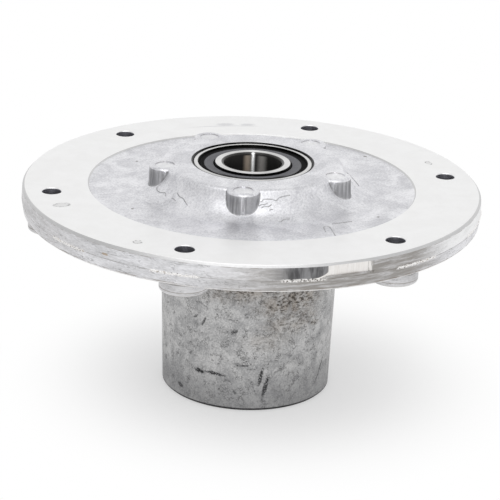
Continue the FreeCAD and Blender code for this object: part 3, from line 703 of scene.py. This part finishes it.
def gate_marks(f, zones):
    upper = f.both(zones["rim"], f.step(f.height, PARTING_LINE + 0.1, PARTING_LINE + 0.5))
    streaks = f.noise(f.scaled(f.place, (1, 1, 0.12)), 0.8)
    sunk = f.math("MAXIMUM", f.math("SUBTRACT", FACE - 3.2, f.height), 0.0)
    slanted = f.math("ADD", f.both(sunk, sunk, 0.42), f.angle)
    past_cut = f.step(slanted, CUT_START, CUT_START + 0.4)
    sawn = f.colour(f.step(streaks, 0.3, 0.7), grey(0.80, 0.03), grey(0.88, 0.02))
    first_stroke = f.both(f.step(slanted, CUT_START + 1.5, CUT_START + 1.1), upper)
    sawn_off = f.both(f.either(zones["gate"], first_stroke), past_cut,
                      f.step(f.angle, CUT_END, CUT_END - 1.0))
    f.coat(sawn, sawn_off)
    f.roughen(0.5, sawn_off)
    torn_end = f.both(f.band(f.angle, CUT_END - 1.8, CUT_END - 0.2, 0.15), upper)
    f.coat(grey(0.14, 0.10), torn_end, f.step(streaks, 0.50, 0.58), 0.5)
    shine = f.patches(3.5, 0.36, 0.64, stretch=(1, 1, 0.25), rough=0.6)
    patch = f.both(upper, f.step(f.angle, PATCH_START, PATCH_FULL), f.math("SUBTRACT", 1.0, past_cut))
    f.coat(f.colour(shine, grey(0.08, -0.05), grey(0.26, -0.03)), patch, 0.95)
    f.roughen(0.36, patch)


def rim_marks(f, zones):
    rim = zones["rim"]
    # Mud on the right side of the rim; on the left, the same darker patches at a lower share are painted
    # shade.
    sides = f.either(f.span(f.angle, *MUDDY_RIGHT), f.both(f.span(f.angle, *PAINTED_SHADE_LEFT), PAINTED_SHADE_LEFT_SHARE))
    mud_and_shade = f.patches(2.4, 0.35, 0.6, 0.50, 1.0, stretch=(0.22, 0.22, 2.0), detail=4.0, rough=0.65)
    f.coat(grey(0.32, 0.05), sides, mud_and_shade, rim)
    upper_half = f.step(f.height, PARTING_LINE, PARTING_LINE + 0.6, 0.0, 0.7)
    # The rim is painted paler towards its right end, mostly on its upper half.
    f.coat(grey(0.95), f.span(f.angle, *PALE_RIGHT_END), rim, upper_half)
    # Painted shade: the chamfer between the machined ring and the rim is painted a darker grey.
    f.coat(grey(0.60), zones["lip"], 0.85)
    seam = f.band(f.height, FACE - 1.35, FACE - 1.1, 0.12)
    f.coat(grey(0.22, 0.14), seam, rim, f.patches(4.0, 0.42, 0.6, 0.0, 0.6))
    # Painted shade: boss_root darkens the crease where a boss meets the underside. Painted highlight, partly
    # a worn edge: boss_edge lightens the boss's lower edge.
    for zone, share, tint in (("boss_root", 0.6, grey(0.16, 0.08)), ("boss_edge", 0.8, grey(0.84, 0.01)),
                              ("boss_line", 0.7, grey(0.22, 0.14))):
        f.coat(tint, zones[zone], share)
    low_edge = f.step(f.radius, LOW_EDGE, LOW_EDGE + 0.8)
    rusty = f.both(f.band(f.height, UNDERSIDE + 0.8, UNDERSIDE + 1.1, 0.12), low_edge)
    f.coat(grey(0.20, 0.22), rusty, f.patches(5.0, 0.40, 0.60, 0.0, 0.7, detail=4.0))
    worn = f.both(f.band(f.height, UNDERSIDE - 0.05, UNDERSIDE + 0.65, 0.1), low_edge)
    f.coat(grey(0.90, 0.02), worn, f.patches(3.0, 0.34, 0.55, detail=4.0), 0.8)
    gate_marks(f, zones)
    crumbs = f.noise(f.place, 0.8)
    for start, end, lift in [stretch[:3] for stretch in FLASH_STRETCHES]:
        near = f.band(f.height, PARTING_LINE + lift - 0.6, PARTING_LINE + lift + 0.6, 0.4)
        torn = f.both(near, f.span(f.angle, start - 0.5, start + 1.0, end - 1.0, end + 0.5), rim)
        f.coat(grey(0.90, 0.02), torn, f.step(crumbs, 0.44, 0.52))
        f.coat(grey(0.10, 0.12), torn, f.step(crumbs, 0.40, 0.34))
    f.coat(grey(0.33, 0.3), f.mark(*RIM_SPECK, fray=0.9)["Filled"], rim, 0.8)
    line = f.band(f.height, PARTING_LINE - 0.06, PARTING_LINE + 0.14, 0.08)
    f.coat(grey(0.20, 0.08), line, rim, f.patches(5.0, 0.3, 0.6), 0.8)


casting_marks(casting, zones)
rim_marks(casting, zones)
cast_aluminium = casting.finish(relief, 0.10)
print(cast_aluminium.name, "has", len(casting.tree.nodes), "nodes")

# %% [markdown]
# ## Bearing steel, balls and cage
# The rings of a ball bearing are hardened and ground, which leaves fine circles on the end faces and fine
# hoops on the bore and the outside. The pattern therefore follows the radius on a level face and the height
# on a wall. The normal decides which, as a shader can read it everywhere. The bore is painted nearly black,
# as painted shade of the deep bore, with a few stripes painted over it: a white painted highlight where the
# front lamp shows, and a tan and a grey painted reflection. Each has its angle, its half width, how far
# below the end face it begins, and its tint.

# %% Steel finishes
BORE_REFLECTION_STRIPES = (
    (77.3, 0.7, 0.2, grey(0.97)),
    (89.0, 1.3, 1.6, grey(0.80, 0.18)),
    (58.5, 1.7, 1.6, grey(0.80, 0.04)),
)
BORE_RADIUS, SHOULDER_RADIUS, MOUTH_RADIUS = bores["r_mm"], 16.5, 23.9
STRIPE_MIDDLE, STRIPE_REACH = HUB_TOP - 7.5, 12.0


def ground_steel(name, base, smooth, rough, pitch, depth, reflection_stripes=(), lay=0.0):
    f = Finish(name, Metallic=1.0, Anisotropic=lay, Anisotropic_Rotation=0.25)
    if lay:
        circles = f.add("ShaderNodeTangent", direction_type="RADIAL", axis="Z").outputs[0]
        f.tree.links.new(circles, f.shader.inputs["Tangent"])
    normal = f.add("ShaderNodeNewGeometry").outputs["Normal"]
    level = f.math("ABSOLUTE", f.add("ShaderNodeSeparateXYZ", {0: normal}).outputs[2])
    across = f.number(f.step(level, 0.5, 0.8), f.height, f.radius)
    ground = f.group(tool_lines, Across=across, Place=f.place, Pitch=pitch)
    darker = tuple(0.86 * c for c in base[:3]) + (1.0,)
    f.start(f.colour(f.step(ground["Smear"], 0.3, 0.7), darker, base),
            f.step(ground["Smear"], 0.25, 0.75, smooth, rough))
    # Painted shade: the bore is painted nearly black.
    inside = f.step(f.radius, BORE_RADIUS + 1.1, BORE_RADIUS + 0.95)
    f.coat(grey(0.045, 0.05), inside, 0.96)
    # Painted highlight and painted reflections: a white stripe where the front lamp shows, and a tan and a
    # grey one.
    for angle, half, begins, tint in reflection_stripes:
        streak = f.mark(angle, STRIPE_MIDDLE, half, STRIPE_REACH, fray=0.3, soft=0.8)["Filled"]
        below = f.step(f.height, HUB_TOP - begins + 0.4, HUB_TOP - begins - 0.4)
        f.coat(tint, streak, inside, below, 0.9)
    joint = f.step(f.radius, SEAT_RADIUS - 0.36, SEAT_RADIUS - 0.26)
    mouth = f.band(f.radius, MOUTH_RADIUS - 1.0, MOUTH_RADIUS + 0.2, 0.03)
    shoulder = f.band(f.radius, SHOULDER_RADIUS - 0.15, SHOULDER_RADIUS + 0.2, 0.05)
    # The joint and the shoulder are dark gaps; the black on the mouth of the outer ring is painted shade on
    # its inner wall.
    f.coat(grey(0.008), f.either(joint, mouth, shoulder))
    return f.finish(ground["Lines"], depth)


bearing_steel = ground_steel("bearing_steel", grey(0.80, 0.006), 0.34, 0.40, 0.16, 0.002,
                             reflection_stripes=BORE_REFLECTION_STRIPES, lay=0.95)
ball_steel = ground_steel("ball_steel", grey(0.74), 0.05, 0.10, 2.0, 0.0005)
turned_steel = ground_steel("turned_steel", grey(0.42, 0.03), 0.30, 0.42, 0.30, 0.02)


def pressed_steel():
    """Cage sheet: dull phosphate grey, with a slight orange-peel from the press."""
    f = Finish("cage_steel", Metallic=1.0)
    skin = f.group(cast_skin, Place=f.place, Pale=grey(0.52, 0.02), Dull=grey(0.40, 0.03),
                   Cloud=4.0, Grain=0.5, Grain_Share=0.4, Specks=0.1)
    f.start(skin["Colour"], f.step(skin["Tone"], 0.0, 1.0, 0.46, 0.32))
    return f.finish(skin["Height"], 0.01)


cage_steel = pressed_steel()
print("steels:", bearing_steel.name, ball_steel.name, turned_steel.name, cage_steel.name)

# %% [markdown]
# ## Moulded seals
# A bearing seal is a rubber-faced disc: a thin lip on the inner ring, a raised flat with fine moulded
# circles, and a low black channel beside the outer ring. It is a section turned round an axis, which is a
# rule, so Geometry Nodes build it from a grid: one direction of the grid runs round the section and the
# other round the axis. The front follows three ramps, and the ribs are a wave along the radius.

# %% Seal sizes, in millimetres below the ring's end face or as radii
seal_low, seal_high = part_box("upper_top_seal")
bearing_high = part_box("upper_outer_ring")[1]
SEAL_LIP_ROOT, SEAL_DISC, SEAL_WELD = 17.48, 21.6, 0.002
seal_sizes = {
    "Tip Radius": 16.58, "Lip Root": SEAL_LIP_ROOT, "Disc Radius": SEAL_DISC, "Slope": 0.45,
    "Bead Radius": seal_high.x / MM, "Tip Drop": 1.36, "Root Drop": 0.85,
    "Disc Drop": (bearing_high.z - seal_high.z) / MM, "Channel Drop": 1.02,
    "Back Drop": (bearing_high.z - seal_low.z) / MM, "Rib Pitch": 0.62, "Rib Depth": 0.04,
    "End Face": 0.0, "Side": 1.0,
}
print("seal sizes in mm:", {label: round(size, 2) for label, size in seal_sizes.items()})

# %% Geometry tree: moulded seal
SECTION_STEPS, ROUND_STEPS = 241, 193
FRONT_END, BEAD_END, BACK_END = 0.62, 0.68, 0.94


def seal_tree():
    r, enter, leave = geometry_tree("moulded_seal", seal_sizes)
    grid = r.add("GeometryNodeMeshGrid", {"Size X": 1.0, "Size Y": 1.0, "Vertices X": SECTION_STEPS,
                                          "Vertices Y": ROUND_STEPS})
    x, y = r.add("ShaderNodeSeparateXYZ", {0: r.add("GeometryNodeInputPosition")}).outputs[:2]
    along, turn = r.math("ADD", x, 0.5), r.math("MULTIPLY", r.math("ADD", y, 0.5), 2 * math.pi)
    out = r.step(along, 0.0, FRONT_END, kind="LINEAR")
    home = r.step(along, BEAD_END, BACK_END, kind="LINEAR")
    radius = r.number(r.math("SUBTRACT", out, home), enter["Tip Radius"], enter["Bead Radius"])
    root, edge = enter["Lip Root"], enter["Disc Radius"]
    foot = r.math("ADD", edge, enter["Slope"])
    lip = r.step(radius, enter["Tip Radius"], root, enter["Tip Drop"], enter["Root Drop"], "LINEAR")
    disc = r.step(radius, root, edge, enter["Root Drop"], enter["Disc Drop"], "LINEAR")
    slope = r.step(radius, edge, foot, enter["Disc Drop"], enter["Channel Drop"], "LINEAR")
    wave = r.math("COSINE", r.math("MULTIPLY", r.math("DIVIDE", radius, enter["Rib Pitch"]), 2 * math.pi))
    flat = r.both(r.step(radius, root, r.math("ADD", root, 0.3)),
                  r.step(radius, edge, r.math("SUBTRACT", edge, 0.3)))
    ribs = r.both(r.math("MULTIPLY_ADD", wave, 0.5, 0.5), enter["Rib Depth"], flat)
    front = r.math("ADD", r.either(lip, slope, disc), ribs)
    behind = r.math("SUBTRACT", r.step(along, FRONT_END, BEAD_END, kind="LINEAR"),
                    r.step(along, BACK_END, 1.0, kind="LINEAR"))
    drop = r.number(behind, front, enter["Back Drop"])
    height = r.math("SUBTRACT", enter["End Face"], r.math("MULTIPLY", drop, enter["Side"]))
    ahead = r.math("MULTIPLY", radius, r.math("COSINE", turn))
    aside = r.math("MULTIPLY", radius, r.math("SINE", turn))
    spot = r.add("ShaderNodeCombineXYZ", {0: ahead, 1: aside, 2: height})
    shaped = r.add("GeometryNodeSetPosition", {"Geometry": grid, "Position": r.scaled(spot, (MM, MM, MM))})
    closed = r.add("GeometryNodeMergeByDistance", {"Geometry": shaped, "Distance": SEAL_WELD * MM})
    upper = r.math("GREATER_THAN", enter["Side"], 0.0)
    turned = r.add("GeometryNodeFlipFaces", {"Mesh": closed, "Selection": upper})
    smooth = r.add("GeometryNodeSetShadeSmooth", {"Geometry": turned, "Shade Smooth": True})
    return close_geometry(r, enter, leave, smooth)


moulded_seal = seal_tree()

# %% [markdown]
# A tree becomes a piece in the same way each time: it goes on a small helper object as a modifier, its
# inputs are set, and the evaluated result is copied into a plain mesh. The export keeps plain meshes, and
# drops what is still a modifier or an instance, so the helper object is removed again.

# %% From tree to piece


def grow(name, tree, inputs, source=None):
    """Runs a geometry tree with these inputs, on a source curve if it has one, and keeps the plain mesh."""
    helper = bpy.data.objects.new(name + "_helper", source or bpy.data.meshes.new(name + "_helper"))
    bpy.context.scene.collection.objects.link(helper)
    modifier = helper.modifiers.new(name, "NODES")
    modifier.node_group = tree
    keys = {item.name: item.identifier for item in tree.interface.items_tree if item.in_out == "INPUT"}
    for label, value in inputs.items():
        modifier[keys[label]] = value
    bpy.context.view_layer.update()
    evaluated = helper.evaluated_get(bpy.context.evaluated_depsgraph_get())
    mesh = bpy.data.meshes.new_from_object(evaluated)
    mesh.name = name
    bpy.data.objects.remove(helper)
    piece = bpy.data.objects.new(name, mesh)
    bpy.context.scene.collection.objects.link(piece)
    return piece


print("tree to piece ready")

# %% [markdown]
# The rubber is black where it is low and sheltered. The raised flat is rubbed and dusty, so it reads mid
# grey, with a faint paler circle, and its outer edge is left black on the front side, as painted shade. The
# change follows the radius, so the solids of the two inner seals, which nobody sees, take the same material.

# %% Seal rubber
PALE_CIRCLE, PAINTED_SHADE_SIDE = 20.2, (215.0, 300.0, 12.0)


def moulded_rubber():
    f = Finish("seal_rubber", Metallic=0.0, Specular_IOR_Level=0.12)
    dust = f.noise(f.place, 2.2, 5.0, 0.65)
    raised = f.band(f.radius, SEAL_LIP_ROOT - 0.2, SEAL_DISC - 0.40, 0.08)
    circle = f.band(f.radius, PALE_CIRCLE, PALE_CIRCLE + 0.2, 0.1)
    dusty = f.colour(f.step(dust, 0.3, 0.7), grey(0.11, -0.08), grey(0.15, -0.08))
    dusty = f.colour(f.both(circle, 0.4), dusty, grey(0.22))
    # Painted shade: the outer edge of the raised flat is left black on the front side.
    painted_shade_side = f.band(f.angle, *PAINTED_SHADE_SIDE)
    painted_shade_edge = f.both(f.step(f.radius, SEAL_DISC - 1.9, SEAL_DISC - 1.7), painted_shade_side)
    f.start(f.colour(f.both(raised, f.math("SUBTRACT", 1.0, painted_shade_edge)), grey(0.003), dusty),
            f.number(raised, 0.8, f.step(dust, 0.3, 0.7, 0.5, 0.62)))
    return f.finish(f.noise(f.place, 0.25), 0.02)


seal_rubber = moulded_rubber()
seal_places = (("upper_top_seal", "upper_outer_ring", 1.0), ("lower_bottom_seal", "lower_outer_ring", -1.0))
for name, ring, side in seal_places:
    end_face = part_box(ring)[1 if side > 0 else 0].z / MM
    inputs = {"End Face": end_face, "Side": side, "Material": seal_rubber}
    piece = grow(name + "_ribbed", moulded_seal, inputs)
    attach(piece, "housing")
    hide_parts(name)
    print(piece.name, len(piece.data.polygons), "faces")

# %% [markdown]
# ## Broken flash on the parting line
# Where the two die halves met, thin flash was trimmed off and left a bright, crumbled line along stretches
# of the rim. Modelling each crumb by hand would never end, so a tree lays small rough crumbs along an arc,
# turns each to the arc, and scatters their size with a fixed seed. They stay within the ridge, so the rim
# keeps its size.

# %% Geometry tree: flash crumbs


def flash_tree():
    r, enter, leave = geometry_tree("flash_crumbs", {
        "Radius": 0.1, "Height": 0.0, "Start": 0.0, "Sweep": 0.2, "Spacing": 0.0003, "Crumb": 0.0004,
        "Scatter": 0.0003, "Seed": 1})
    arc = r.add("GeometryNodeCurveArc", {"Resolution": 64, "Radius": enter["Radius"],
                                         "Start Angle": enter["Start"], "Sweep Angle": enter["Sweep"]})
    even = r.add("GeometryNodeResampleCurve", {"Curve": arc, "Length": enter["Spacing"]}, mode="LENGTH")
    low = r.add("ShaderNodeCombineXYZ", {2: r.both(enter["Scatter"], -1.0)})
    high = r.add("ShaderNodeCombineXYZ", {2: enter["Scatter"]})
    stray = r.add("FunctionNodeRandomValue", {0: low, 1: high, "Seed": enter["Seed"]},
                  data_type="FLOAT_VECTOR")
    lift = r.add("ShaderNodeCombineXYZ", {2: enter["Height"]})
    moved = r.add("ShaderNodeVectorMath", {0: stray, 1: lift}, operation="ADD")
    laid = r.add("GeometryNodeSetPosition", {"Geometry": even, "Offset": moved})
    crumb = r.add("GeometryNodeMeshIcoSphere", {"Radius": enter["Crumb"], "Subdivisions": 1})
    along = r.add("FunctionNodeAlignEulerToVector", {"Vector": r.add("GeometryNodeInputTangent")}, axis="X")
    small, large = (0.5, 0.25, 0.3), (1.8, 0.55, 0.8)
    sizes = r.add("FunctionNodeRandomValue", {0: small, 1: large, "Seed": enter["Seed"]},
                  data_type="FLOAT_VECTOR")
    crumbs = r.add("GeometryNodeInstanceOnPoints",
                   {"Points": laid, "Instance": crumb, "Rotation": along, "Scale": sizes})
    return close_geometry(r, enter, leave, crumbs)


flash_crumbs = flash_tree()

# %% [markdown]
# Freshly broken aluminium is the brightest thing on the rim: white and rough, with a few warm specks of
# dirt. The stretches in the table of marks are where the photograph shows them, and two more lie on the far
# side, as flash breaks off all round. Each has its angles, its height from the parting line, its crumb size
# and how far it stands out.

# %% Flash pieces
FLASH_SPACING, FLASH_SCATTER, FLASH_SINK = 0.22, 0.35, 0.10


def broken_metal():
    f = Finish("broken_metal", Metallic=1.0)
    dirt = f.patches(0.9, 0.58, 0.68, detail=2.0)
    f.start(f.colour(dirt, grey(0.93, 0.01), grey(0.42, 0.16)), f.step(dirt, 0.0, 1.0, 0.45, 0.7))
    return f.finish(f.noise(f.place, 0.3), 0.05)


fresh = broken_metal()
for number, (start, end, lift, crumb, stand) in enumerate(FLASH_STRETCHES, start=1):
    piece = grow("flash_%d" % number, flash_crumbs, {
        "Radius": (RIM - FLASH_SINK + stand / 2) * MM, "Height": (PARTING_LINE + lift) * MM,
        "Start": math.radians(start), "Sweep": math.radians(end - start), "Spacing": FLASH_SPACING * MM,
        "Crumb": crumb * MM, "Scatter": FLASH_SCATTER * MM, "Seed": number, "Material": fresh})
    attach(piece, "housing")
    print(piece.name, len(piece.data.polygons), "faces")

# %% [markdown]
# ## Laps in the skin
# Where two streams of metal met half frozen, the skin folded into thin winding laps on the flare of the
# hub. They are lines on a curved surface: a few points each, by angle and radius, give the path, and a tree
# makes it smooth, lays it on the casting, and sweeps a small tapering bead along it.

# %% Geometry tree: skin laps
LAP_SWELL = 1.2


def lap_tree():
    r, enter, leave = geometry_tree("skin_laps", {
        "Geometry": "Geometry", "Surface": "Object", "Thickness": 0.0002, "Step": 0.0003})
    soft = r.add("GeometryNodeCurveSplineType", {"Curve": enter["Geometry"]}, spline_type="CATMULL_ROM")
    even = r.add("GeometryNodeResampleCurve", {"Curve": soft, "Length": enter["Step"]}, mode="LENGTH")
    surface = r.add("GeometryNodeObjectInfo", {"Object": enter["Surface"]}).outputs["Geometry"]
    nearest = r.add("GeometryNodeProximity", {0: surface}, target_element="FACES").outputs["Position"]
    laid = r.add("GeometryNodeSetPosition", {"Geometry": even, "Position": nearest})
    part_way = r.add("GeometryNodeSplineParameter").outputs["Factor"]
    taper = r.math("SINE", r.math("MULTIPLY", part_way, math.pi))
    swell = r.noise(r.add("GeometryNodeInputPosition"), LAP_SWELL * MM, 2.0)
    weight = r.add("GeometryNodeInputRadius")
    width = r.both(weight, r.math("SQRT", r.math("MAXIMUM", taper, 0.02)), r.step(swell, 0.3, 0.7, 0.5, 1.4))
    sized = r.add("GeometryNodeSetCurveRadius", {"Curve": laid, "Radius": width})
    bead = r.add("GeometryNodeCurvePrimitiveCircle", {"Resolution": 8, "Radius": enter["Thickness"]})
    swept = r.add("GeometryNodeCurveToMesh",
                  {"Curve": sized, "Profile Curve": bead, "Fill Caps": True})
    return close_geometry(r, enter, leave, swept)


skin_laps = lap_tree()

# %% Paths of the laps: how heavy each is, then the angle and radius of its points
LAPS = (
    (1.2, ((209.0, 42.3), (212.0, 43.0), (215.1, 43.2), (217.6, 44.0), (220.8, 45.2))),
    (1.1, ((190.1, 42.7), (189.6, 43.9), (192.0, 44.8), (196.2, 44.8), (200.1, 44.0), (202.5, 44.9))),
    (0.8, ((207.9, 44.5), (209.5, 44.6), (211.7, 45.0))),
    (0.45, ((261.1, 40.7), (263.0, 40.9), (264.7, 40.4), (269.6, 40.4), (272.0, 40.7), (274.6, 40.1),
           (281.1, 39.9))),
    (0.6, ((261.7, 42.0), (263.4, 41.5), (264.6, 41.6), (267.0, 41.2))),
    (0.45, ((262.9, 42.6), (264.9, 42.1), (267.0, 42.2), (269.1, 41.6))),
    (0.5, ((267.4, 43.4), (268.6, 43.1), (269.7, 43.2))),
    (0.5, ((269.5, 48.4), (272.2, 48.9), (274.0, 47.9), (277.3, 47.8))),
    (1.3, ((287.2, 70.4), (290.1, 61.2), (289.4, 59.4), (288.0, 59.6), (286.2, 64.5))),
    (0.6, ((293.4, 57.7), (297.5, 58.6), (302.2, 60.2))),
    (0.8, ((353.5, 41.6), (356.0, 43.6), (352.9, 44.8), (346.9, 46.7))),
    (0.8, ((62.0, 43.5), (66.5, 44.6), (70.0, 44.0), (75.5, 45.8))),
    (0.7, ((138.0, 44.5), (141.5, 43.2), (147.0, 44.4))),
)
LAP_THICKNESS, LAP_STEP = 0.23, 0.3


def flare_height(radius):
    """Height of the hub's hollow flare, or of the dish outside it."""
    inward = min(max(FLARE_END - radius, 0.0), FLARE_END - FLARE_START)
    return FACE - DISH_DROP + FLARE_RADIUS - math.sqrt(FLARE_RADIUS ** 2 - inward ** 2)


def lap_paths():
    curve = bpy.data.curves.new("lap_paths", "CURVE")
    curve.dimensions = "3D"
    for weight, path in LAPS:
        spline = curve.splines.new("POLY")
        spline.points.add(len(path) - 1)
        for point, (angle, radius) in zip(spline.points, path):
            turn = math.radians(angle)
            at = Vector((radius * math.cos(turn), radius * math.sin(turn), flare_height(radius)))
            point.co = (*(at * MM), 1.0)
            point.radius = weight
    return curve


print("laps:", len(LAPS), "paths with", sum(len(path) for _, path in LAPS), "points")

# %% Lap pieces


def folded_skin():
    f = Finish("folded_skin", Metallic=1.0)
    skin = f.group(cast_skin, Place=f.place, Pale=grey(0.60, -0.02), Dull=grey(0.38, -0.02),
                   Cloud=2.0, Grain=0.5, Grain_Share=0.4, Specks=0.2)
    f.start(skin["Colour"], f.step(skin["Tone"], 0.0, 1.0, 0.55, 0.42))
    return f.finish(skin["Height"], 0.03)


lap_inputs = {"Surface": solids["housing"], "Thickness": LAP_THICKNESS * MM, "Step": LAP_STEP * MM,
              "Material": folded_skin()}
laps = grow("skin_laps", skin_laps, lap_inputs, source=lap_paths())
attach(laps, "housing")
print(laps.name, len(laps.data.polygons), "faces")

# %% [markdown]
# ## Finishes on the solids
# The solids keep their shape and only change their material. The record names a slot for each node, so the
# slot picks the finish, and a node that was added later would find its own.

# %% Give every solid its finish
finishes = {
    "cast_aluminium": cast_aluminium, "bearing_steel": bearing_steel, "ball_steel": ball_steel,
    "cage_steel": cage_steel, "turned_steel": turned_steel, "seal_rubber": seal_rubber,
}
for part in frame["record"]["subparts"]:
    solid = solids[part["node"]]
    if not solid.material_slots:
        solid.data.materials.append(None)
    for material_slot in solid.material_slots:
        material_slot.material = finishes[part["material_slot"]]
